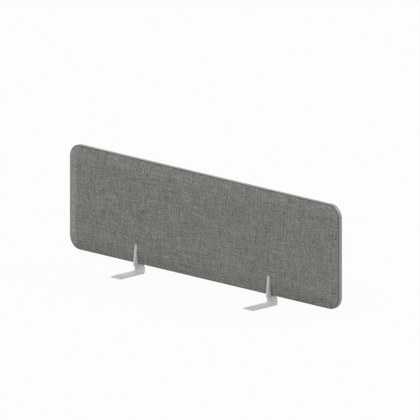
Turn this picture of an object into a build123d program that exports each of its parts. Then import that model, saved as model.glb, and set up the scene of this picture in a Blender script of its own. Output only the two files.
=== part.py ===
"""Desk divider screen: a padded, cloth-covered board on two steel brackets that grip the edge of a desk top.

Millimetres. X runs along the screen, Y from its front to its back and +Z up. The origin is at the middle of
the whole part in X and Y, at the height of the tongues' undersides.
"""

from build123d import *
from math import hypot
import os

os.makedirs("parts", exist_ok=True)

# Screen
screen_length = 1400
screen_height = 400
screen_thickness = 32
corner_radius = 50
board_thickness = 12
cover_thickness = 1
bevel_width = 41
least_fold_radius = 1
pad_ease = 0.3

# Edge trim
trim_width = 16
trim_thickness = 1.6
trim_crown = 0.2
trim_lip_round = 0.25
trim_joint_gap = 0.3
seam_width = 0.3
rim_rise = 1.6
stem_thickness = 2
stem_depth = 8
groove_clearance = 0.2

# Brackets
bracket_spacing = 690
sheet_thickness = 4
tongue_width = 50
tongue_reach = 128
tongue_corner_radius = 3
bend_radius = 4
desk_gap = 26
desk_screw_radius = 2.5
desk_screw_spacing = 60
desk_screw_setback = 25
desk_screws_per_bracket = 2
shoulder_radius = 15
shoulder_gap = 0.3
tang_height = 30
tang_clearance = 0.2

# Fins that stand in front of and behind the screen
fin_thickness = 8
fin_height = 74
foot_height = 6
fin_base_reach = 31
fin_tip_depth = 4.4
fin_gap = 1
fin_tip_radius = 1.5
fin_toe_radius = 3

# Set screws that lock the screen to the brackets
lock_screw_radius = 2
lock_screw_length = 30
lock_screw_height = 14
lock_screw_clearance = 0.1
lock_screw_end_gap = 0.1
lock_screw_socket = 2
lock_screw_socket_depth = 2
lock_screw_point = 1.2

# Places that follow from the sizes
cut_overrun = 5
screen_bottom = sheet_thickness + desk_gap + foot_height
fin_tip_reach = screen_thickness / 2 + fin_gap + fin_tip_depth
fin_slope = (fin_base_reach - fin_tip_reach) / (fin_height + foot_height)
toe_reach = fin_base_reach - fin_toe_radius * (fin_slope + hypot(1, fin_slope) - 1)
screen_y = (tongue_reach - toe_reach) / 2
screen_middle = (0, screen_y, screen_bottom + screen_height / 2)
half_board = board_thickness / 2
half_sheet = sheet_thickness / 2
lip_level = trim_width / 2
rim_level = lip_level + rim_rise
cloth_level = screen_thickness / 2
cover_inset = trim_thickness + seam_width
bevel_run_per_rise = (bevel_width - cover_inset) / (cloth_level - rim_level)
fold_radius = max(corner_radius - bevel_width, least_fold_radius)
tang_width = tongue_width - 2 * shoulder_radius
bracket_places = {"left": -bracket_spacing / 2, "right": bracket_spacing / 2}

middle_plane = Plane(origin=screen_middle, x_dir=(1, 0, 0), z_dir=(0, -1, 0))
facings = {"front": middle_plane, "rear": Plane(origin=screen_middle, x_dir=(-1, 0, 0), z_dir=(0, 1, 0))}


def side_plane(side, x):
    """The upright plane across the screen at x, its X away from the screen, its Y up from the bottom."""
    outward = -1 if side == "front" else 1
    return Plane(origin=(x, screen_y, screen_bottom), x_dir=(0, outward, 0), z_dir=(outward, 0, 0))


def lock_axis_plane(x):
    """The plane of the screen's middle, facing the rear, centred on a bracket's set screw."""
    return Plane(origin=(x, screen_y, screen_bottom + lock_screw_height), x_dir=(-1, 0, 0), z_dir=(0, 1, 0))


def lock_holes(radius, depth):
    """Bores for both set screws, from the middle of the screen towards the rear."""
    with BuildPart() as bores:
        for x in bracket_places.values():
            with BuildSketch(lock_axis_plane(x)):
                Circle(radius)
            extrude(amount=depth)
    return bores.part


def bevelled_slab(facing, edge_inset, depth_below_cloth):
    """A slab on one face of the board, with a flat bevel that follows its rounded outline.

    The bevel runs from the cloth's rim, rim_rise proud of the trim's lip, to the fold at bevel_width, all of
    it depth_below_cloth under the cloth's outer surface.
    """
    edge_level = rim_level - depth_below_cloth + (edge_inset - cover_inset) / bevel_run_per_rise
    with BuildPart() as slab:
        with BuildSketch(facing.offset(half_board)):
            RectangleRounded(
                screen_length - 2 * edge_inset, screen_height - 2 * edge_inset, corner_radius - edge_inset
            )
        extrude(amount=edge_level - half_board)
        with BuildSketch(facing.offset(edge_level)):
            RectangleRounded(
                screen_length - 2 * edge_inset, screen_height - 2 * edge_inset, corner_radius - edge_inset
            )
        with BuildSketch(facing.offset(cloth_level - depth_below_cloth)):
            RectangleRounded(screen_length - 2 * bevel_width, screen_height - 2 * bevel_width, fold_radius)
        loft(ruled=True)
    return slab.part


# Core board, with the groove for the trim's stem and a slot for each tang
board_length = screen_length - 2 * trim_thickness
board_height = screen_height - 2 * trim_thickness
board_radius = corner_radius - trim_thickness
groove_depth = stem_depth + groove_clearance
slot_width = tang_width + 2 * tang_clearance
slot_thickness = sheet_thickness + 2 * tang_clearance
slot_top = tang_height + tang_clearance
board_lock_holes = lock_holes(lock_screw_radius + lock_screw_clearance, half_board + cut_overrun)

with BuildPart() as core_board:
    with BuildSketch(middle_plane.offset(-half_board)):
        RectangleRounded(board_length, board_height, board_radius)
    extrude(amount=board_thickness)
    with BuildSketch(middle_plane):
        RectangleRounded(
            board_length + 2 * cut_overrun, board_height + 2 * cut_overrun, board_radius + cut_overrun
        )
        RectangleRounded(
            board_length - 2 * groove_depth,
            board_height - 2 * groove_depth,
            board_radius - groove_depth,
            mode=Mode.SUBTRACT,
        )
    extrude(amount=stem_thickness / 2 + groove_clearance, both=True, mode=Mode.SUBTRACT)
    for x in bracket_places.values():
        with BuildSketch(Plane((x, screen_y, screen_bottom))):
            Rectangle(slot_width, slot_thickness)
        extrude(amount=slot_top, mode=Mode.SUBTRACT)
    add(board_lock_holes, mode=Mode.SUBTRACT)
core_board.part.label = "core_board"
export_step(core_board.part, "parts/core_board.step")


# Edge trim: a crowned cap with a stem, bent round the board from one side of its butt joint to the other
with BuildPart() as edge_trim:
    with BuildLine(middle_plane) as outline:
        FilletPolyline(
            (trim_joint_gap / 2, -screen_height / 2),
            (screen_length / 2, -screen_height / 2),
            (screen_length / 2, screen_height / 2),
            (-screen_length / 2, screen_height / 2),
            (-screen_length / 2, -screen_height / 2),
            (-trim_joint_gap / 2, -screen_height / 2),
            radius=corner_radius,
        )
    with BuildSketch(Plane(origin=outline.line @ 0, x_dir=(0, 1, 0), z_dir=outline.line % 0)) as cap:
        with BuildLine():
            ThreePointArc((-lip_level, trim_crown), (0, 0), (lip_level, trim_crown))
            Polyline(
                (lip_level, trim_crown),
                (lip_level, trim_thickness),
                (-lip_level, trim_thickness),
                (-lip_level, trim_crown),
            )
        make_face()
        fillet(cap.vertices(), trim_lip_round)
        with Locations((0, trim_thickness)):
            Rectangle(stem_thickness, stem_depth, align=(Align.CENTER, Align.MIN))
    sweep(path=outline.line)
    for x in bracket_places.values():
        with BuildSketch(Plane((x, screen_y, screen_bottom))):
            Rectangle(slot_width, slot_thickness)
        extrude(amount=slot_top, both=True, mode=Mode.SUBTRACT)
edge_trim.part.label = "edge_trim"
export_step(edge_trim.part, "parts/edge_trim.step")


# Pads and covers, one of each on either face of the board
soft_lock_holes = lock_holes(lock_screw_radius + lock_screw_clearance + pad_ease, cloth_level + cut_overrun)

for side, facing in facings.items():
    outer_form = bevelled_slab(facing, cover_inset, 0)
    hollow = bevelled_slab(facing, cover_inset + cover_thickness, cover_thickness)
    pad_form = bevelled_slab(facing, cover_inset + cover_thickness + pad_ease, cover_thickness)

    with BuildPart() as pad:
        add(pad_form)
        add(soft_lock_holes, mode=Mode.SUBTRACT)
    pad.part.label = side + "_pad"
    export_step(pad.part, "parts/" + side + "_pad.step")

    with BuildPart() as cover:
        add(outer_form)
        add(hollow, mode=Mode.SUBTRACT)
        add(soft_lock_holes, mode=Mode.SUBTRACT)
    cover.part.label = side + "_cover"
    export_step(cover.part, "parts/" + side + "_cover.step")


# Brackets: a bent plate, two fins welded to it and a set screw each
riser_top = screen_bottom - shoulder_gap
tang_top = screen_bottom + tang_height
tongue_front = screen_y - tongue_reach
riser_front = screen_y - half_sheet
riser_rear = screen_y + half_sheet
lock_hole_radius = lock_screw_radius + lock_screw_clearance
lock_screw_start = -half_sheet + lock_screw_end_gap

for side, x in bracket_places.items():
    with BuildPart() as bracket_plate:
        with BuildSketch(Plane.YZ.offset(x)) as bent_sheet:
            with BuildLine():
                Polyline(
                    (tongue_front, 0),
                    (riser_rear, 0),
                    (riser_rear, tang_top),
                    (riser_front, tang_top),
                    (riser_front, sheet_thickness),
                    (tongue_front, sheet_thickness),
                    close=True,
                )
            make_face()
            heel = bent_sheet.vertices().sort_by_distance((riser_rear, 0))[0]
            fillet(heel, bend_radius + sheet_thickness)
            inner_bend = bent_sheet.vertices().sort_by_distance((riser_front, sheet_thickness))[0]
            fillet(inner_bend, bend_radius)
        extrude(amount=tongue_width / 2, both=True)
        fillet(bracket_plate.edges().filter_by(Axis.Z).group_by(Axis.Y)[0], tongue_corner_radius)
        behind_riser = (x, riser_rear + cut_overrun, 0)
        with BuildSketch(Plane(origin=behind_riser, x_dir=(1, 0, 0), z_dir=(0, -1, 0))) as front_view:
            Rectangle(tongue_width, riser_top, align=(Align.CENTER, Align.MIN))
            fillet(front_view.vertices().group_by(Axis.Y)[-1], shoulder_radius - shoulder_gap)
            Rectangle(tang_width, tang_top, align=(Align.CENTER, Align.MIN))
        extrude(amount=tongue_reach + sheet_thickness + 2 * cut_overrun, mode=Mode.INTERSECT)
        first_hole = tongue_front + desk_screw_setback
        with BuildSketch(Plane((x, first_hole + desk_screw_spacing / 2, 0))):
            with GridLocations(desk_screw_spacing, desk_screw_spacing, 1, desk_screws_per_bracket):
                Circle(desk_screw_radius)
        extrude(amount=sheet_thickness, mode=Mode.SUBTRACT)
        with BuildSketch(lock_axis_plane(x)):
            Circle(lock_hole_radius)
        extrude(amount=sheet_thickness, both=True, mode=Mode.SUBTRACT)
    bracket_plate.part.label = side + "_bracket_plate"
    export_step(bracket_plate.part, "parts/" + side + "_bracket_plate.step")

    for facing_side in facings:
        with BuildPart() as fin:
            with BuildSketch(side_plane(facing_side, x)) as fin_outline:
                with BuildLine():
                    Polyline(
                        (half_sheet, -foot_height),
                        (half_sheet, 0),
                        (rim_level + fin_gap, 0),
                        (cloth_level + fin_gap, bevel_width),
                        (cloth_level + fin_gap, fin_height),
                        (fin_tip_reach, fin_height),
                        (fin_base_reach, -foot_height),
                        close=True,
                    )
                make_face()
                fillet(fin_outline.vertices().group_by(Axis.Y)[-1], fin_tip_radius)
                toe = fin_outline.vertices().sort_by_distance((fin_base_reach, -foot_height))[0]
                fillet(toe, fin_toe_radius)
            extrude(amount=fin_thickness / 2, both=True)
            if facing_side == "rear":
                with BuildSketch(lock_axis_plane(x)):
                    Circle(lock_hole_radius)
                extrude(amount=fin_base_reach + cut_overrun, mode=Mode.SUBTRACT)
        fin.part.label = side + "_" + facing_side + "_fin"
        export_step(fin.part, "parts/" + side + "_" + facing_side + "_fin.step")

    with BuildPart() as lock_screw:
        with BuildSketch(lock_axis_plane(x).offset(lock_screw_start)):
            Circle(lock_screw_radius)
        extrude(amount=lock_screw_length)
        chamfer(lock_screw.edges().group_by(Axis.Y)[0], lock_screw_point)
        with BuildSketch(lock_axis_plane(x).offset(lock_screw_start + lock_screw_length)):
            RegularPolygon(lock_screw_socket / 2, 6, major_radius=False)
        extrude(amount=-lock_screw_socket_depth, mode=Mode.SUBTRACT)
    lock_screw.part.label = side + "_lock_screw"
    export_step(lock_screw.part, "parts/" + side + "_lock_screw.step")
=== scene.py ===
# %% [markdown]
# A desk divider screen, dressed for its portrait. The CAD model gives every size. This script adds what
# CAD leaves out: cloth that is stretched over foam, the soft gleam of a moulded edge, the fine orange
# peel of powder paint, and the light of a plain studio. We work in metres, in the CAD's own frame: X
# runs along the screen, -Y is the side of the desk and Z is up.

from math import atan, cos, degrees, hypot, pi, radians, sin

import bmesh
import bpy
import numpy as np
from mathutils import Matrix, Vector


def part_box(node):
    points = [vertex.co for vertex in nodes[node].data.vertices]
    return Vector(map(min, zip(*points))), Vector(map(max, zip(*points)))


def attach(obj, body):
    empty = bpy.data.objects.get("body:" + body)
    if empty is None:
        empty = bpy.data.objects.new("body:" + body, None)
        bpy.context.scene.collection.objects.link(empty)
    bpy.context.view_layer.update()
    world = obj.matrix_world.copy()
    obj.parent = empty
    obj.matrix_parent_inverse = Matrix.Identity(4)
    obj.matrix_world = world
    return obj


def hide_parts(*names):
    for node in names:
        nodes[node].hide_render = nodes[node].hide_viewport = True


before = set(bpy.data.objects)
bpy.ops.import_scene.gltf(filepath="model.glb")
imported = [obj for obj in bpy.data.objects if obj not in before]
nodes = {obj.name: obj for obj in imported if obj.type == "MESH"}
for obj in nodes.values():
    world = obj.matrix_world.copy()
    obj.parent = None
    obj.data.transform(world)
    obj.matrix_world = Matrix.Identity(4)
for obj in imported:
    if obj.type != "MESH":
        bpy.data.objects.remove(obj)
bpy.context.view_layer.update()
scene = bpy.context.scene
print("CAD nodes:", len(nodes))

# %% [markdown]
# Real sizes are easiest to read in millimetres, so one small function turns them into metres. The sizes
# that the CAD solids can tell us are read from their boxes, and only those that no box shows are
# written down again. A level is a distance from the screen's upright middle plane. The lip is where the
# trim ends, and the rim is where the cloth comes up beside it, a little prouder.

# %% Sizes
def mm(size):
    return size / 1000


board_low, board_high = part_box("core_board")
cover_low, cover_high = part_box("front_cover")
trim_thickness = mm(1.6)
trim_width = mm(16)
rim_rise = mm(1.6)
bevel_width = mm(41)
corner_radius = mm(50)

half_length = board_high.x + trim_thickness
half_height = (board_high.z - board_low.z) / 2 + trim_thickness
screen_y = (board_low.y + board_high.y) / 2
screen_z = (board_low.z + board_high.z) / 2
half_board = (board_high.y - board_low.y) / 2
cloth_level = screen_y - cover_low.y
lip_level = trim_width / 2
rim_level = lip_level + rim_rise
cover_inset = half_length - cover_high.x
bevel_slope = (cloth_level - rim_level) / (bevel_width - cover_inset)
bevel_length = hypot(1, bevel_slope)
print("screen", round(2 * half_length, 4), "by", round(2 * half_height, 4), "metres")
print("the bevels lean back by", round(degrees(atan(bevel_slope)), 1), "degrees")

# %% [markdown]
# The photograph has no vanishing points: the long edges of the screen and the edges of its brackets
# stay parallel. So the camera is orthographic. Its direction follows from how long the same millimetre
# looks along X, Y and Z, and its aim is the point of the screen's middle plane that lies at the centre
# of the picture.

# %% Camera
camera_azimuth = radians(44.45)
camera_elevation = radians(14.037)
picture_width = 1.5598
picture_centre = Vector((mm(21.0), screen_y, mm(303.2)))
camera_distance = 5.0
farthest_seen = 100.0

towards_camera = Vector((
    sin(camera_azimuth) * cos(camera_elevation),
    -cos(camera_azimuth) * cos(camera_elevation),
    sin(camera_elevation),
))
camera_data = bpy.data.cameras.new("portrait_camera")
camera_data.type = "ORTHO"
camera_data.ortho_scale = picture_width
camera_data.clip_end = farthest_seen
camera = bpy.data.objects.new("portrait_camera", camera_data)
camera.location = picture_centre + camera_distance * towards_camera
camera.rotation_euler = (-towards_camera).to_track_quat("-Z", "Y").to_euler()
scene.collection.objects.link(camera)
scene.camera = camera
scene.view_settings.view_transform = "Standard"
print("the camera stands at", [round(part, 3) for part in camera.location])

# %% [markdown]
# Colours are written as sRGB hex values, as a colour picker shows them. Blender computes with linear
# values, where twice the number is twice the light, so one function turns the first kind into the
# second.

# %% Colours
def linear(hex_colour):
    """An sRGB hex colour as linear red, green, blue and alpha."""
    srgb = np.array([int(hex_colour[k:k + 2], 16) for k in (1, 3, 5)]) / 255
    low, high = srgb / 12.92, ((srgb + 0.055) / 1.055) ** 2.4
    return (*np.where(srgb <= 0.04045, low, high).tolist(), 1.0)


print("the middle grey #808080 is linear", round(linear("#808080")[0], 3))

# %% [markdown]
# Materials come from nodes. They could be joined by hand in the shader editor, and in a script each
# link would take a line of its own. Here one function adds a node, sets its settings and sockets, and
# links what feeds it, so that a material reads as a list of steps.

# %% Material helpers
def socket_of(node, key):
    """An input of a node, by its place or by its name in lower case with _ for a space."""
    if isinstance(key, int):
        return node.inputs[key]
    return next(s for s in node.inputs if s.enabled and s.name.lower().replace(" ", "_") == key)


def feed(tree, node, inputs):
    """Gives inputs of a node their values, or links them to the outputs that feed them."""
    for key, value in inputs.items():
        if isinstance(value, bpy.types.NodeSocket):
            tree.links.new(value, socket_of(node, key))
        else:
            socket_of(node, key).default_value = value


def add(tree, kind, *values, settings=(), **inputs):
    """Adds a node: values go to its first inputs in order, inputs by name, settings to the node itself."""
    node = tree.nodes.new("ShaderNode" + kind)
    for key, value in dict(settings).items():
        setattr(node, key, value)
    feed(tree, node, {**dict(enumerate(values)), **inputs})
    return node


def new_material(name):
    """A material with only a Principled shader and its output: returns it, its node tree and the shader."""
    material = bpy.data.materials.new(name)
    material.use_nodes = True
    tree = material.node_tree
    print("material", name)
    return material, tree, next(n for n in tree.nodes if n.type == "BSDF_PRINCIPLED")


# %% [markdown]
# The cloth is a mélange plain weave: each yarn is spun from dark and pale fibres, so its tone wanders
# along it. In a plain weave, warp yarns (upright) and weft yarns (level) take turns on top, like the
# squares of a chessboard. Modelled threads would need millions of faces, and a noise alone would look
# like felt. So we draw just what the loom does. The place on the cloth, counted in yarns, gives a cell,
# and the cell's colour on the chessboard says which yarn is on top. A yarn's tone has two parts: its
# fibres, which change every few millimetres, and its slubs, the long stretches that are darker or
# paler. A real pitch of about 1.2 mm is too fine for a picture in which a pixel is 4 mm, so the yarns
# are drawn 2 mm wide.

# %% Tone along a yarn
YARN_PITCH = mm(2.0)
FIBRE_RUN = 1.6
FIBRE_SHARE = 2.4
SLUB_RUN = 50.0
SLUB_SEED = 9.3
NOISE_SCALE = 1.37


def yarn_tone(tree, number, along, slub_share, seed):
    """Half, plus a noise for the fibres and one for the slubs, each less its mean and times its share.

    number is the yarn's number and along the place along it, counted in yarn widths. Each noise is read
    at the number, the place divided by the run that it changes over, and a seed that keeps it apart.
    """
    tone = 0.5
    noises = ((FIBRE_RUN, FIBRE_SHARE, seed), (SLUB_RUN, slub_share, seed + SLUB_SEED))
    for run_length, share, depth in noises:
        run = add(tree, "Math", along, run_length, settings={"operation": "DIVIDE"}).outputs[0]
        spot = add(tree, "CombineXYZ", number, run, depth).outputs[0]
        noise = add(tree, "TexNoise", vector=spot, scale=NOISE_SCALE, detail=1.0).outputs[0]
        centred = add(tree, "Math", noise, 0.5, settings={"operation": "SUBTRACT"}).outputs[0]
        tone = add(tree, "Math", centred, share, tone, settings={"operation": "MULTIPLY_ADD"}).outputs[0]
    return tone


print("yarns in 100 mm of cloth:", round(mm(100) / YARN_PITCH))

# %% Height of a yarn
DIVE = 0.8


def yarn_crown(tree, over, along):
    """How high a yarn on top stands: cos(pi over) across it, times cos(DIVE pi along) as it dives under."""
    angles = add(tree, "Math", over, pi, settings={"operation": "MULTIPLY"}).outputs[0]
    dive = add(tree, "Math", along, DIVE * pi, settings={"operation": "MULTIPLY"}).outputs[0]
    round_yarn = add(tree, "Math", angles, settings={"operation": "COSINE"}).outputs[0]
    arch = add(tree, "Math", dive, settings={"operation": "COSINE"}).outputs[0]
    return add(tree, "Math", round_yarn, arch, settings={"operation": "MULTIPLY"}).outputs[0]


print("height left where a yarn dives:", round(cos(DIVE * pi / 2), 2))

# %% Cloth material
WARP_SLUB = 1.45
WEFT_SLUB = 1.3
WARP_SEED = 17.0
WEFT_SEED = 3.0
GAP_PAINTED_SHADE = 0.45
YARN_HEIGHT = mm(0.35)


def melange_cloth():
    """The tone of the yarn on top, with shade painted into the gaps between yarns, through a ramp from dark
    to pale fibres.
    """
    material, tree, shader = new_material("melange_plain_weave")
    place = add(tree, "TexCoord").outputs["Object"]
    counted = add(tree, "VectorMath", place, (YARN_PITCH,) * 3, settings={"operation": "DIVIDE"}).outputs[0]
    cell = add(tree, "VectorMath", counted, settings={"operation": "FLOOR"}).outputs[0]
    inside = add(tree, "VectorMath", counted, settings={"operation": "FRACTION"}).outputs[0]
    inside = add(tree, "VectorMath", inside, (0.5,) * 3, settings={"operation": "SUBTRACT"}).outputs[0]
    across, _, up = add(tree, "SeparateXYZ", counted).outputs
    column, _, row = add(tree, "SeparateXYZ", cell).outputs
    from_column, _, from_row = add(tree, "SeparateXYZ", inside).outputs
    both = add(tree, "Math", column, row, settings={"operation": "ADD"}).outputs[0]
    warp_on_top = add(tree, "Math", both, 2.0, settings={"operation": "FLOORED_MODULO"}).outputs[0]

    warp = yarn_tone(tree, column, up, WARP_SLUB, WARP_SEED)
    weft = yarn_tone(tree, row, across, WEFT_SLUB, WEFT_SEED)
    tone = add(tree, "Mix", factor=warp_on_top, a=weft, b=warp).outputs[0]
    warp_height = yarn_crown(tree, from_column, from_row)
    weft_height = yarn_crown(tree, from_row, from_column)
    height = add(tree, "Mix", factor=warp_on_top, a=weft_height, b=warp_height).outputs[0]
    # Painted shade: the tone is multiplied down where a yarn lies low, so the gaps between yarns are
    # darker.
    shade = add(tree, "MapRange", height, to_min=GAP_PAINTED_SHADE).outputs[0]
    shaded = add(tree, "Math", tone, shade, settings={"operation": "MULTIPLY"}).outputs[0]
    colour = add(tree, "ValToRGB", shaded)
    colour.color_ramp.elements[0].color = linear("#21211E")
    colour.color_ramp.elements[1].color = linear("#AFB1A8")
    bump = add(tree, "Bump", strength=0.5, distance=YARN_HEIGHT, height=height).outputs[0]
    feed(tree, shader, {
        "base_color": colour.outputs["Color"], "normal": bump, "roughness": 0.92, "sheen_weight": 0.15,
        "sheen_roughness": 0.5,
    })
    return material


cloth = melange_cloth()

# %% [markdown]
# The edge moulding is satin ABS. It left a polished die with a fine grain, so it gives a soft, blurred
# gleam, and it is the same colour all through. One roughness all over would do from afar. But a real
# gleam is broken up by the grain, so a fine noise stirs both the height and the roughness, and a wide
# one lets the grey drift.

# %% Moulding material
DIE_GRAIN = mm(0.9)
DIE_GRAIN_HEIGHT = mm(0.05)
ABS_DRIFT = mm(60)


def satin_abs():
    material, tree, shader = new_material("satin_moulded_abs")
    place = add(tree, "TexCoord").outputs["Object"]
    grain = add(tree, "TexNoise", vector=place, scale=1 / DIE_GRAIN, detail=3.0, roughness=0.55).outputs[0]
    bump = add(tree, "Bump", strength=0.25, distance=DIE_GRAIN_HEIGHT, height=grain)
    drift = add(tree, "TexNoise", vector=place, scale=1 / ABS_DRIFT, detail=2.0).outputs[0]
    greys = {"a": linear("#7D7E7A"), "b": linear("#858682")}
    colour = add(tree, "Mix", settings={"data_type": "RGBA"}, factor=drift, **greys).outputs["Result"]
    rough = add(tree, "MapRange", value=grain, to_min=0.28, to_max=0.40).outputs[0]
    feed(tree, shader, {"base_color": colour, "roughness": rough, "ior": 1.54, "normal": bump.outputs[0]})
    return material


moulding = satin_abs()

# %% [markdown]
# The brackets are steel with a pale grey powder coat. The powder melts in the oven and sets with a
# faint orange peel, about a millimetre across, and stays matt. The peel could be carved into the mesh,
# but it is only a few hundredths of a millimetre high, so a bump says enough.

# %% Bracket paint
ORANGE_PEEL = mm(1.4)
ORANGE_PEEL_HEIGHT = mm(0.04)
PAINT_DRIFT = mm(25)


def powder_coat():
    material, tree, shader = new_material("pale_grey_powder_coat")
    place = add(tree, "TexCoord").outputs["Object"]
    peel = add(tree, "TexNoise", vector=place, scale=1 / ORANGE_PEEL, detail=1.0).outputs[0]
    bump = add(tree, "Bump", strength=0.35, distance=ORANGE_PEEL_HEIGHT, height=peel)
    drift = add(tree, "TexNoise", vector=place, scale=1 / PAINT_DRIFT, detail=3.0).outputs[0]
    greys = {"a": linear("#B9B9B8"), "b": linear("#C2C2C1")}
    colour = add(tree, "Mix", settings={"data_type": "RGBA"}, factor=drift, **greys).outputs["Result"]
    rough = add(tree, "MapRange", value=peel, to_min=0.45, to_max=0.58).outputs[0]
    feed(tree, shader, {"base_color": colour, "roughness": rough, "ior": 1.5, "normal": bump.outputs[0]})
    return material


paint = powder_coat()

# %% [markdown]
# A dark ribbed strip on the cloth's edge is painted shade: it draws the thin dark shadow line beside the
# moulding. Its ribs run across it, 0.8 mm apart. The strip follows the screen's edge up, along and down,
# and one set of bands has to cross it everywhere. Diagonal bands do. At a scale of 1 the wave texture
# repeats them every pi / 5 along each axis, so that length over the rib pitch is the scale to use.

# %% Dark strip of painted shade
RIB_PITCH = mm(0.8)
RIB_HEIGHT = mm(0.15)


def make_shade_strip_material():
    material, tree, shader = new_material("black_cotton_tape")
    place = add(tree, "TexCoord").outputs["Object"]
    diagonal = {"bands_direction": "DIAGONAL"}
    ribs = add(tree, "TexWave", vector=place, scale=pi / 5 / RIB_PITCH, settings=diagonal).outputs["Fac"]
    # Painted shade: these near-black greys stand for the shadow line between cloth and moulding.
    blacks = {"a": linear("#1C1C1B"), "b": linear("#3A3A38")}
    colour = add(tree, "Mix", settings={"data_type": "RGBA"}, factor=ribs, **blacks).outputs["Result"]
    bump = add(tree, "Bump", strength=0.5, distance=RIB_HEIGHT, height=ribs)
    feed(tree, shader, {"base_color": colour, "roughness": 0.9, "normal": bump.outputs[0]})
    return material


shade_strip = make_shade_strip_material()

# %% [markdown]
# The board inside is fibreboard pressed from short wood fibres. Its near-black colour is painted shade:
# where the board shows in the gap between cloth and moulding, it draws the dark shadow line there. A noise
# with much fine detail, a millimetre or two wide, gives both its mottling and its slight fuzz.

# %% Board, near black as painted shade
FIBRE_CLUMP = mm(1.5)
FIBRE_CLUMP_HEIGHT = mm(0.1)


def make_fibreboard_painted_dark():
    material, tree, shader = new_material("black_dyed_fibreboard")
    place = add(tree, "TexCoord").outputs["Object"]
    fibre = add(tree, "TexNoise", vector=place, scale=1 / FIBRE_CLUMP, detail=4.0, roughness=0.7).outputs[0]
    # Near black as painted shade, so the gap beside the moulding reads as a shadow line; the mix adds the
    # fibre mottling.
    blacks = {"a": linear("#1A1A19"), "b": linear("#383835")}
    colour = add(tree, "Mix", settings={"data_type": "RGBA"}, factor=fibre, **blacks).outputs["Result"]
    bump = add(tree, "Bump", strength=0.4, distance=FIBRE_CLUMP_HEIGHT, height=fibre)
    feed(tree, shader, {"base_color": colour, "roughness": 0.85, "normal": bump.outputs[0]})
    return material


board_fibre_and_shade = make_fibreboard_painted_dark()

# %% [markdown]
# The pads are pale open-cell foam. Its bubbles are about a millimetre across and meet in thin walls. A
# Voronoi texture splits space in the same way: each point belongs to the nearest of many seeds, and the
# distance to it is a pit with a pale wall around it. The pits are painted darker than the walls, as painted
# shade inside the bubbles.

# %% Foam finish
FOAM_CELL = mm(1.2)
FOAM_CELL_DEPTH = mm(0.4)


def open_cell_foam():
    material, tree, shader = new_material("open_cell_foam")
    place = add(tree, "TexCoord").outputs["Object"]
    cells = add(tree, "TexVoronoi", vector=place, scale=1 / FOAM_CELL).outputs["Distance"]
    # Painted shade: the darker cream goes in the pits, the paler one on the walls.
    creams = {"a": linear("#B9B6A8"), "b": linear("#E4E2D8")}
    colour = add(tree, "Mix", settings={"data_type": "RGBA"}, factor=cells, **creams).outputs["Result"]
    bump = add(tree, "Bump", strength=0.8, distance=FOAM_CELL_DEPTH, height=cells)
    feed(tree, shader, {"base_color": colour, "roughness": 0.95, "normal": bump.outputs[0]})
    return material


foam = open_cell_foam()

# %% [markdown]
# The set screws are zinc-plated steel. Fresh zinc is a bright metal, and handling clouds it in patches
# under a millimetre wide. So only the roughness changes, and the colour stays that of the metal.

# %% Screw finish
ZINC_BLOOM = mm(0.8)


def zinc_plate():
    material, tree, shader = new_material("zinc_plated_steel")
    place = add(tree, "TexCoord").outputs["Object"]
    bloom = add(tree, "TexNoise", vector=place, scale=1 / ZINC_BLOOM, detail=3.0).outputs[0]
    rough = add(tree, "MapRange", value=bloom, to_min=0.28, to_max=0.45).outputs[0]
    feed(tree, shader, {"base_color": linear("#C4C6C8"), "metallic": 1.0, "roughness": rough})
    return material


zinc = zinc_plate()

# %% [markdown]
# Every band of the screen, the trim, the bevel and the cloth's tucked edge, runs round it at some
# distance inside its outline. Picture the outline as a rectangle with sharp corners, the core, that was
# grown outwards by the corner radius. Then a point at any inset is core + (corner radius - inset) x
# outward direction, and the same core points and directions serve for every band.

# %% The way round the screen
CORNER_STEPS = 14
LONG_STEPS = 112
SHORT_STEPS = 28
core_x, core_z = half_length - corner_radius, half_height - corner_radius


def way_round():
    """Core points and outward directions, anticlockwise seen from -Y, from the middle of the bottom edge.

    On a corner the core point stands still while the direction turns by 90 degrees. Between two corners the
    direction stands still while the core point moves on.
    """
    corners = np.array([[1, -1], [1, 1], [-1, 1], [-1, -1]]) * (core_x, core_z)
    core, outward = [], []
    for k, corner in enumerate(corners):
        turn = (k - 1) * pi / 2 + np.linspace(0, pi / 2, CORNER_STEPS + 1)
        core.append(np.repeat(corner[None], len(turn), 0))
        outward.append(np.stack([np.cos(turn), np.sin(turn)], 1))
        steps = (SHORT_STEPS, LONG_STEPS)[k % 2]
        share = np.linspace(0, 1, steps + 1)[1:-1, None]
        core.append(corner * (1 - share) + corners[(k + 1) % 4] * share)
        outward.append(np.repeat(outward[-1][-1:], steps - 1, 0))
    core, outward = np.concatenate(core), np.concatenate(outward)
    start = len(core) - LONG_STEPS // 2
    return np.roll(core, -start, 0), np.roll(outward, -start, 0)


core_points, outward_ways = way_round()
print("points round the screen:", len(core_points))

# %% [markdown]
# New pieces are arrays of points and faces. Blender could extrude and bevel a plane instead, but then
# no point would be just where the CAD has it. A band is a grid: one direction goes round the screen and
# the other across a profile.

# %% Grids of points and faces
def grid_faces(rows, columns, closed):
    """Four corners for each cell of a grid of points numbered row by row.

    closed joins the last column to the first.
    """
    last_column = columns if closed else columns - 1
    row, column = np.meshgrid(np.arange(rows - 1), np.arange(last_column), indexing="ij")
    here, there = row * columns + column, row * columns + (column + 1) % columns
    return np.stack([here, there, there + columns, here + columns], -1).reshape(-1, 4)


def band_points(insets, levels):
    """Rings round the screen: for each inset and level, core + (corner radius - inset) x outward there."""
    flat = core_points + (corner_radius - np.asarray(insets)[:, None, None]) * outward_ways
    levels = np.broadcast_to(np.asarray(levels)[:, None], flat.shape[:2])
    return np.stack([flat[..., 0], levels, flat[..., 1]], -1)


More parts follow.
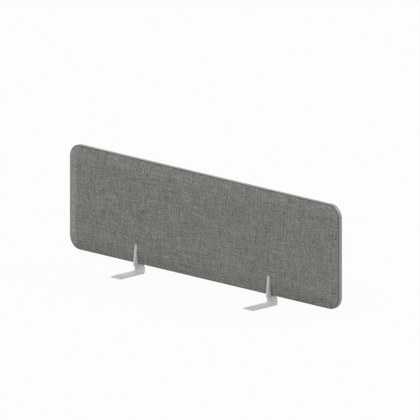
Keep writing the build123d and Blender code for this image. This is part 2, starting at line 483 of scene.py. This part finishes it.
def on_side(points, side):
    """Places points on a side of the screen: the rear is the front turned by 180 degrees about Z."""
    turn = 1 if side == "front" else -1
    return np.stack([turn * points[:, 0], screen_y - turn * points[:, 1], screen_z + points[:, 2]], 1)


print("faces in one row round the screen:", len(grid_faces(2, len(core_points), closed=True)))

# %% [markdown]
# The next helpers put such arrays into an object that sits at the origin, and read a mesh back as
# arrays. Where two grids meet, their points coincide, and a weld makes one point of each pair, so that
# no seam stays open.

# %% Meshes from arrays and back
WELD_DISTANCE = mm(0.002)


def add_piece(name, points, faces, material, smooth=True, merge=True):
    """A mesh object at the origin; merge makes one point of those that coincide."""
    mesh = bpy.data.meshes.new(name)
    mesh.from_pydata(points.tolist(), [], faces.tolist())
    if merge:
        work = bmesh.new()
        work.from_mesh(mesh)
        bmesh.ops.remove_doubles(work, verts=work.verts, dist=WELD_DISTANCE)
        work.to_mesh(mesh)
        work.free()
    mesh.polygons.foreach_set("use_smooth", np.full(len(mesh.polygons), smooth))
    mesh.materials.append(material)
    piece = bpy.data.objects.new(name, mesh)
    scene.collection.objects.link(piece)
    print(name, len(mesh.polygons), "faces")
    return piece


def points_of(mesh):
    """The mesh's points as an array with one row each."""
    points = np.empty(len(mesh.vertices) * 3, np.float32)
    mesh.vertices.foreach_get("co", points)
    return points.reshape(-1, 3)


def face_values(mesh, key, numbers):
    """A value that the mesh keeps for its faces, as an array with one row of so many numbers each."""
    values = np.empty(len(mesh.polygons) * numbers, np.float32)
    mesh.polygons.foreach_get(key, values)
    return values.reshape(-1, numbers)


# %% [markdown]
# A cover's profile starts where the cloth is tucked between pad and trim, comes up beside the trim,
# turns over the pad's rim, climbs the bevel and folds onto the flat face. On real upholstery no fold is
# a knife edge: the foam gives a little. A Bevel modifier could round the folds, but only to one radius
# along an edge. Here the turn at the rim is an arc. The fold is the average of the two lines that it
# joins, less half the distance between them as softened by a square root, which rounds it over a few
# millimetres.

# %% Upholstery profile
RIM_ROUND = mm(0.7)
RIM_STEPS = 6
FOLD_SOFTNESS = mm(0.12)
BEVEL_ROWS = mm(np.array([6, 10, 15, 20, 25, 30, 34, 37, 39, 40, 40.5, 41, 41.5, 42, 43, 45, 50]))


def upholstery_profile(depth=0.0):
    """Insets and levels, from the tucked edge inwards, all depth below the cloth's surface."""
    inset = cover_inset + depth
    rim = rim_level - depth * (bevel_length - bevel_slope)
    face = cloth_level - depth
    centre = rim + RIM_ROUND * (bevel_slope - bevel_length)
    turn = np.linspace(pi, pi / 2 + atan(bevel_slope), RIM_STEPS)
    round_insets = inset + RIM_ROUND * (1 + np.cos(turn))
    round_levels = centre + RIM_ROUND * np.sin(turn)
    below_face = rim + bevel_slope * (BEVEL_ROWS - inset) - face
    rise = face + (below_face - np.sqrt(below_face**2 + FOLD_SOFTNESS**2)) / 2
    return (
        np.concatenate([[inset, inset], round_insets, BEVEL_ROWS]),
        np.concatenate([[half_board, (half_board + centre) / 2], round_levels, rise]),
    )


print("points across a cover's edge:", len(upholstery_profile()[0]))

# %% [markdown]
# The covered face is the profile carried round the screen, which ends on the core rectangle, and a
# plain grid that fills that rectangle. A fan of triangles would fill it too, but it would shade in
# streaks and couldn't bend as cloth. Both grids have the same spacing, so their edges meet point for
# point and are welded.

# %% Upholstery surface
def upholstery_grid(depth=0.0, closed_back=False):
    """Points and faces of a covered face, in X, height above the middle plane, and Z.

    closed_back adds the flat back that a pad has: a ring from the tucked edge to the core, and the same
    plain grid turned to face the board.
    """
    insets, levels = upholstery_profile(depth)
    points = [band_points(insets, levels).reshape(-1, 3)]
    faces = [grid_faces(len(insets), len(core_points), closed=True)]
    up, along = np.linspace(-core_z, core_z, SHORT_STEPS + 1), np.linspace(-core_x, core_x, LONG_STEPS + 1)
    z, x = np.meshgrid(up, along, indexing="ij")
    middle = grid_faces(SHORT_STEPS + 1, LONG_STEPS + 1, closed=False)
    flats = [(levels[-1], middle)]
    if closed_back:
        flats.append((half_board, middle[:, ::-1]))
        points.append(band_points([corner_radius, insets[0]], [half_board, half_board]).reshape(-1, 3))
        faces.append(grid_faces(2, len(core_points), closed=True) + len(points[0]))
    for level, order in flats:
        faces.append(order + sum(len(p) for p in points))
        points.append(np.stack([x, np.full_like(x, level), z], -1).reshape(-1, 3))
    return np.concatenate(points), np.concatenate(faces)


print("points and faces of a covered face:", *(len(part) for part in upholstery_grid()))

# %% [markdown]
# The cloth is stretched over the foam by its tucked edge, and no stretched cloth is quite even. We pin
# its edge in Blender's cloth solver and let a little pressure, the foam's push, work for twenty frames.
# Left free, points would move by up to 25 mm, which is far from a tight cover, so each keeps only the
# first 0.8 mm of its way, and nearly every point reaches that cap. So the solver adds a slight
# unevenness, and the cover's form still comes from the profile. The result replaces the points, so no
# simulation is left on the piece.

# %% Cloth settling
FOAM_PUSH = 4.0
STRETCH_STIFFNESS = 40.0
BEND_STIFFNESS = 5.0
SETTLE_FRAMES = 20
MOST_MOVE = mm(0.8)
SMALLEST_MOVE = 1e-9


def settle_cloth(piece, pinned_below):
    """Runs the solver on a piece whose points nearer to the middle plane than pinned_below stand still."""
    start = points_of(piece.data)
    tucked = piece.vertex_groups.new(name="tucked_edge")
    held = np.flatnonzero(np.abs(start[:, 1] - screen_y) < pinned_below)
    tucked.add(held.tolist(), 1.0, "REPLACE")
    modifier = piece.modifiers.new("stretch", "CLOTH")
    cloth_settings = modifier.settings
    cloth_settings.vertex_group_mass = tucked.name
    cloth_settings.use_pressure = True
    cloth_settings.uniform_pressure_force = FOAM_PUSH
    cloth_settings.effector_weights.gravity = 0
    cloth_settings.tension_stiffness = STRETCH_STIFFNESS
    cloth_settings.compression_stiffness = STRETCH_STIFFNESS
    cloth_settings.bending_stiffness = BEND_STIFFNESS
    modifier.collision_settings.use_collision = False
    for number in range(1, SETTLE_FRAMES + 1):
        scene.frame_set(number)
    settled = piece.evaluated_get(bpy.context.evaluated_depsgraph_get())
    move = points_of(settled.data) - start
    length = np.linalg.norm(move, axis=1, keepdims=True)
    piece.modifiers.remove(modifier)
    piece.vertex_groups.remove(tucked)
    scene.frame_set(1)
    kept = start + move * np.minimum(1, MOST_MOVE / np.maximum(length, SMALLEST_MOVE))
    piece.data.vertices.foreach_set("co", kept.astype(np.float32).ravel())
    piece.data.update()
    print(piece.name, "moved up to", round(1000 * float(length.max()), 2), "mm before the cap")


# %% [markdown]
# The dark strip of painted shade goes only on the upright wall of cloth beside the moulding. It could be a
# strip of its own, but it is a second material on the cloth's faces that lie low enough.

# %% Painted shade on the cloth's edge
PAINTED_SHADE_BELOW_RIM = mm(0.85)


def paint_edge_shade(piece, level):
    """Gives the faces whose middles are nearer to the screen's middle plane than level the dark strip of
    painted shade.
    """
    piece.data.materials.append(shade_strip)
    in_shade_strip = np.abs(face_values(piece.data, "center", 3)[:, 1] - screen_y) < level
    piece.data.polygons.foreach_set("material_index", in_shade_strip.astype(np.int32))
    print(piece.name, int(in_shade_strip.sum()), "faces in tape")


# %% [markdown]
# Each side's cloth is one sheet, a millimetre thick, cut a little larger than the screen so that its
# edge can be tucked in. The sheet starts as far below its CAD shape as the solver may push it up, and a
# Solidify modifier then gives it its thickness on the inside.

# %% Stretched cloth
CLOTH_THICKNESS = mm(0.9)
PINNED_ABOVE_BOARD = mm(0.5)


def add_cloth(side):
    """The covered face at depth MOST_MOVE, with painted shade on its low edge, settled, smoothed and then
    thickened inwards.
    """
    points, faces = upholstery_grid(depth=MOST_MOVE)
    piece = add_piece(side + "_stretched_cloth", on_side(points, side), faces, cloth)
    # Painted shade: the cloth's low faces next to the moulding get the dark strip.
    paint_edge_shade(piece, rim_level - PAINTED_SHADE_BELOW_RIM)
    settle_cloth(piece, half_board + PINNED_ABOVE_BOARD)
    smooth = piece.modifiers.new("smooth", "SUBSURF")
    smooth.levels = smooth.render_levels = 1
    shell = piece.modifiers.new("thickness", "SOLIDIFY")
    shell.thickness = CLOTH_THICKNESS
    shell.offset = -1
    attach(piece, "root")
    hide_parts(side + "_cover")
    area = float(face_values(piece.data, "area", 1).sum(dtype=float))
    print(piece.name, "stretched area", round(area, 4), "square metres")


# %% [markdown]
# The pad is the same form a hair lower, closed behind by the board's face. Nobody sees it, but the
# cloth rests on it, and without it the part would be hollow behind the cloth. The gap left between them
# is smaller than what the solver may move a point, so near the rim and on the bevels the uneven cloth
# enters the pad by up to 0.4 mm, out of sight.

# %% Foam pads, and both sides
PAD_EASE = mm(0.3)


def add_pad(side):
    """The covered face below the cloth's thickness and PAD_EASE, closed behind."""
    points, faces = upholstery_grid(depth=MOST_MOVE + CLOTH_THICKNESS + PAD_EASE, closed_back=True)
    pad = add_piece(side + "_foam_pad", on_side(points, side), faces, foam)
    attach(pad, "root")
    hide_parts(side + "_pad")


for side in ("front", "rear"):
    add_cloth(side)
    add_pad(side)

# %% [markdown]
# The trim is one moulded strip: a thin crowned cap, 16 mm wide, with rounded lips and a stem that is
# pressed into the board's edge groove. A curve object with a bevel profile could follow the outline,
# but at the corners its points wouldn't match those of the cloth beside it. So its cross-section is a
# closed list of points that we carry round the outline, from one side of the butt joint under the
# screen to the other.

# %% Cross-section of the trim
TRIM_CROWN = mm(0.2)
CROWN_POINTS = 13
LIP_ROUND = mm(0.45)
LIP_POINTS = 7
STEM_HALF = mm(1)
STEM_DEPTH = mm(8)


def trim_section():
    """Inset and level of the strip's cross-section, in order round it.

    The crown is a shallow parabola, TRIM_CROWN deep at the lips. Each lip is a half turn of radius
    LIP_ROUND.
    """
    flat_half = lip_level - LIP_ROUND
    across = np.linspace(-1, 1, CROWN_POINTS) * flat_half
    crown = TRIM_CROWN * (across / lip_level) ** 2
    turn = np.linspace(-pi / 2, pi / 2, LIP_POINTS)[1:-1]
    lip_inset = crown[-1] + LIP_ROUND + LIP_ROUND * np.sin(turn)
    lip_out = flat_half + LIP_ROUND * np.cos(turn)
    stem_end = trim_thickness + STEM_DEPTH
    inner = np.array([
        [trim_thickness, flat_half], [trim_thickness, STEM_HALF], [stem_end, STEM_HALF],
        [stem_end, -STEM_HALF], [trim_thickness, -STEM_HALF], [trim_thickness, -flat_half],
    ])
    inset = np.concatenate([crown, lip_inset, inner[:, 0], lip_inset[::-1]])
    level = np.concatenate([across, lip_out, inner[:, 1], -lip_out[::-1]])
    return inset, level


print("points round the trim's cross-section:", len(trim_section()[0]))

# %% Edge trim
JOINT_GAP = mm(0.3)
SHARP_FROM = radians(50)


def add_trim():
    """The cross-section at each point round the screen, the first one split in two for the joint."""
    insets, levels = trim_section()
    count = len(insets)
    rings = on_side(band_points(insets, levels).reshape(-1, 3), "front").reshape(count, -1, 3)
    rings = rings.transpose(1, 0, 2)
    first = rings[:1] + (JOINT_GAP / 2, 0, 0)
    last = rings[:1] - (JOINT_GAP / 2, 0, 0)
    rings = np.concatenate([first, rings[1:], last])
    sides = grid_faces(len(rings), count, closed=True)
    piece = add_piece("edge_moulding", rings.reshape(-1, 3), sides, moulding, merge=False)
    work = bmesh.new()
    work.from_mesh(piece.data)
    bmesh.ops.holes_fill(work, edges=[edge for edge in work.edges if edge.is_boundary])
    bmesh.ops.recalc_face_normals(work, faces=work.faces)
    work.to_mesh(piece.data)
    work.free()
    piece.data.set_sharp_from_angle(angle=SHARP_FROM)
    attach(piece, "root")
    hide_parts("edge_trim")


add_trim()

# %% [markdown]
# The brackets' shapes are right as CAD made them, but laser-cut steel has its edges dulled before
# painting, and the paint rounds them further. The nodes could keep their meshes and take the paint
# alone, but a knife edge catches no light. So each bracket piece is a copy of its CAD mesh with its
# loose triangles welded, flat ones joined to whole faces, and a small bevel run along every sharp edge.

# %% Bracket pieces
PAINTED_EDGE = mm(0.5)
BEVEL_SEGMENTS = 3
BEVEL_FROM = radians(40)
FLAT_UP_TO = radians(0.5)


def add_painted(node_name):
    """A painted copy of a CAD node, with a rounded bevel PAINTED_EDGE wide along its sharp edges."""
    work = bmesh.new()
    work.from_mesh(nodes[node_name].data)
    bmesh.ops.remove_doubles(work, verts=work.verts, dist=WELD_DISTANCE)
    bmesh.ops.dissolve_limit(work, angle_limit=FLAT_UP_TO, verts=work.verts, edges=work.edges)
    mesh = bpy.data.meshes.new("painted_" + node_name)
    work.to_mesh(mesh)
    work.free()
    mesh.materials.clear()
    mesh.materials.append(paint)
    mesh.polygons.foreach_set("use_smooth", np.full(len(mesh.polygons), True))
    mesh.polygons.foreach_set("material_index", np.zeros(len(mesh.polygons), np.int32))
    piece = bpy.data.objects.new("painted_" + node_name, mesh)
    scene.collection.objects.link(piece)
    bevel = piece.modifiers.new("dulled_edges", "BEVEL")
    bevel.width = PAINTED_EDGE
    bevel.segments = BEVEL_SEGMENTS
    bevel.limit_method = "ANGLE"
    bevel.angle_limit = BEVEL_FROM
    bevel.harden_normals = True
    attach(piece, "root")
    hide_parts(node_name)
    print(piece.name, len(mesh.polygons), "faces")


for side in ("left", "right"):
    for part in ("bracket_plate", "front_fin", "rear_fin"):
        add_painted(f"{side}_{part}")

# %% [markdown]
# The board and the set screws are hard pieces whose CAD shapes are right, down to their edges. So these
# nodes stay, and only their material slots get the finishes from above.

# %% CAD nodes that stay as they are
finishes = {"core_board": board_fibre_and_shade, "left_lock_screw": zinc, "right_lock_screw": zinc}
for name, material in finishes.items():
    for slot in nodes[name].material_slots:
        slot.material = material
    print(name, "wears", material.name, "in", len(nodes[name].material_slots), "slots")

# %% [markdown]
# The studio is plain: a pale floor, a white surround and a few broad lamps. A backdrop bright enough to
# look white would also flood the object with light. So the camera sees floor and surround as white, and
# so do gloss and glass, while the light that they throw on the object is softer. The floor keeps a
# share of its own shading, and with it the object's shadow.

# %% What the camera sees
def seen_directly(tree):
    """1 for rays that the camera, gloss or glass sends out, 0 for those that only carry light."""
    rays = add(tree, "LightPath").outputs
    glossy, clear = rays["Is Glossy Ray"], rays["Is Transmission Ray"]
    mirrored = add(tree, "Math", glossy, clear, settings={"operation": "MAXIMUM"}).outputs[0]
    return add(tree, "Math", rays["Is Camera Ray"], mirrored, settings={"operation": "MAXIMUM"}).outputs[0]


# %% Floor
FLOOR_REACH = 20.0
FLOOR_DROP = mm(0.5)
FLOOR_WHITENESS = 0.95


def add_floor():
    """A square FLOOR_REACH in each direction, FLOOR_DROP under the tongues."""
    corners = np.array([[-1, -1, 0], [1, -1, 0], [1, 1, 0], [-1, 1, 0]]) * FLOOR_REACH
    corners[:, 2] = -FLOOR_DROP
    material, tree, shader = new_material("pale_floor")
    feed(tree, shader, {"base_color": linear("#B4B4B4"), "roughness": 0.9, "specular_ior_level": 0.0})
    output = next(n for n in tree.nodes if n.type == "OUTPUT_MATERIAL")
    white = add(tree, "Emission", color=(1, 1, 1, 1), strength=1.0)
    seen = seen_directly(tree)
    share = add(tree, "Math", seen, FLOOR_WHITENESS, settings={"operation": "MULTIPLY"}).outputs[0]
    mixed = add(tree, "MixShader", share, shader.outputs[0], white.outputs[0])
    tree.links.new(mixed.outputs[0], output.inputs["Surface"])
    faces = np.array([[0, 1, 2, 3]])
    floor = add_piece("studio_floor", corners, faces, material, smooth=False, merge=False)


add_floor()

# %% Surround
SURROUND_STRENGTH = 0.36


def add_surround(strength):
    """A world of strength 1 where it is seen directly, and of the given strength where it only lights."""
    world = bpy.data.worlds.new("white_surround")
    scene.world = world
    world.use_nodes = True
    tree = world.node_tree
    tree.nodes.clear()
    seen = seen_directly(tree)
    steps = {"operation": "MULTIPLY_ADD"}
    level = add(tree, "Math", seen, 1.0 - strength, strength, settings=steps).outputs[0]
    background = add(tree, "Background", color=(1, 1, 1, 1), strength=level)
    output = add(tree, "OutputWorld")
    tree.links.new(background.outputs[0], output.inputs["Surface"])
    print("the surround lights the object at", strength)


add_surround(SURROUND_STRENGTH)

# %% [markdown]
# Lamps far away light a long screen evenly from end to end, and a wide angle softens their shadows. Low
# lamps at both ends model the screen's bevels. On level paint and plastic they would throw a glare that
# a camera at the other end sees as plain white. So each of the two is a pair: one lamp lights the cloth
# alone, and the other lights all else, without a gleam. Two collections say which lamp lights what.

# %% Light groups
cloth_only = bpy.data.collections.new("cloth_only")
all_but_cloth = bpy.data.collections.new("all_but_cloth")
for side in ("front", "rear"):
    for group in (cloth_only, all_but_cloth):
        group.objects.link(scene.objects[side + "_stretched_cloth"])
for member in all_but_cloth.collection_objects:
    member.light_linking.link_state = "EXCLUDE"

# %% Lamps
FROM_LEFT = (-1.0, -0.02, 0.25)
FROM_RIGHT = (1.0, 0.015, 0.25)


def add_lamp(name, direction, strength, spread, lit=None, gleam=True):
    """A distant lamp: direction points from the object to it, spread is the angle it fills in the sky.

    lit is the collection that it lights, or None for all, and gleam says whether gloss shows it.
    """
    data = bpy.data.lights.new(name, "SUN")
    data.energy = strength
    data.angle = radians(spread)
    lamp = bpy.data.objects.new(name, data)
    lamp.rotation_euler = Vector(direction).to_track_quat("Z", "Y").to_euler()
    lamp.light_linking.receiver_collection = lit
    lamp.visible_glossy = gleam
    scene.collection.objects.link(lamp)
    print(name, "strength", strength)


add_lamp("left_lamp_on_cloth", FROM_LEFT, 3.1, 10, cloth_only)
add_lamp("left_lamp_on_the_rest", FROM_LEFT, 3.1, 10, all_but_cloth, gleam=False)
add_lamp("right_lamp_on_cloth", FROM_RIGHT, 1.4, 12, cloth_only)
add_lamp("right_lamp_on_the_rest", FROM_RIGHT, 0.95, 12, all_but_cloth, gleam=False)
add_lamp("front_right_lamp", (0.45, -0.85, 0.5), 0.77, 50)
add_lamp("high_front_lamp", (0.15, -0.7, 1.0), 1.15, 50)
add_lamp("rear_lamp", (0.2, 0.9, 0.6), 1.0, 40)
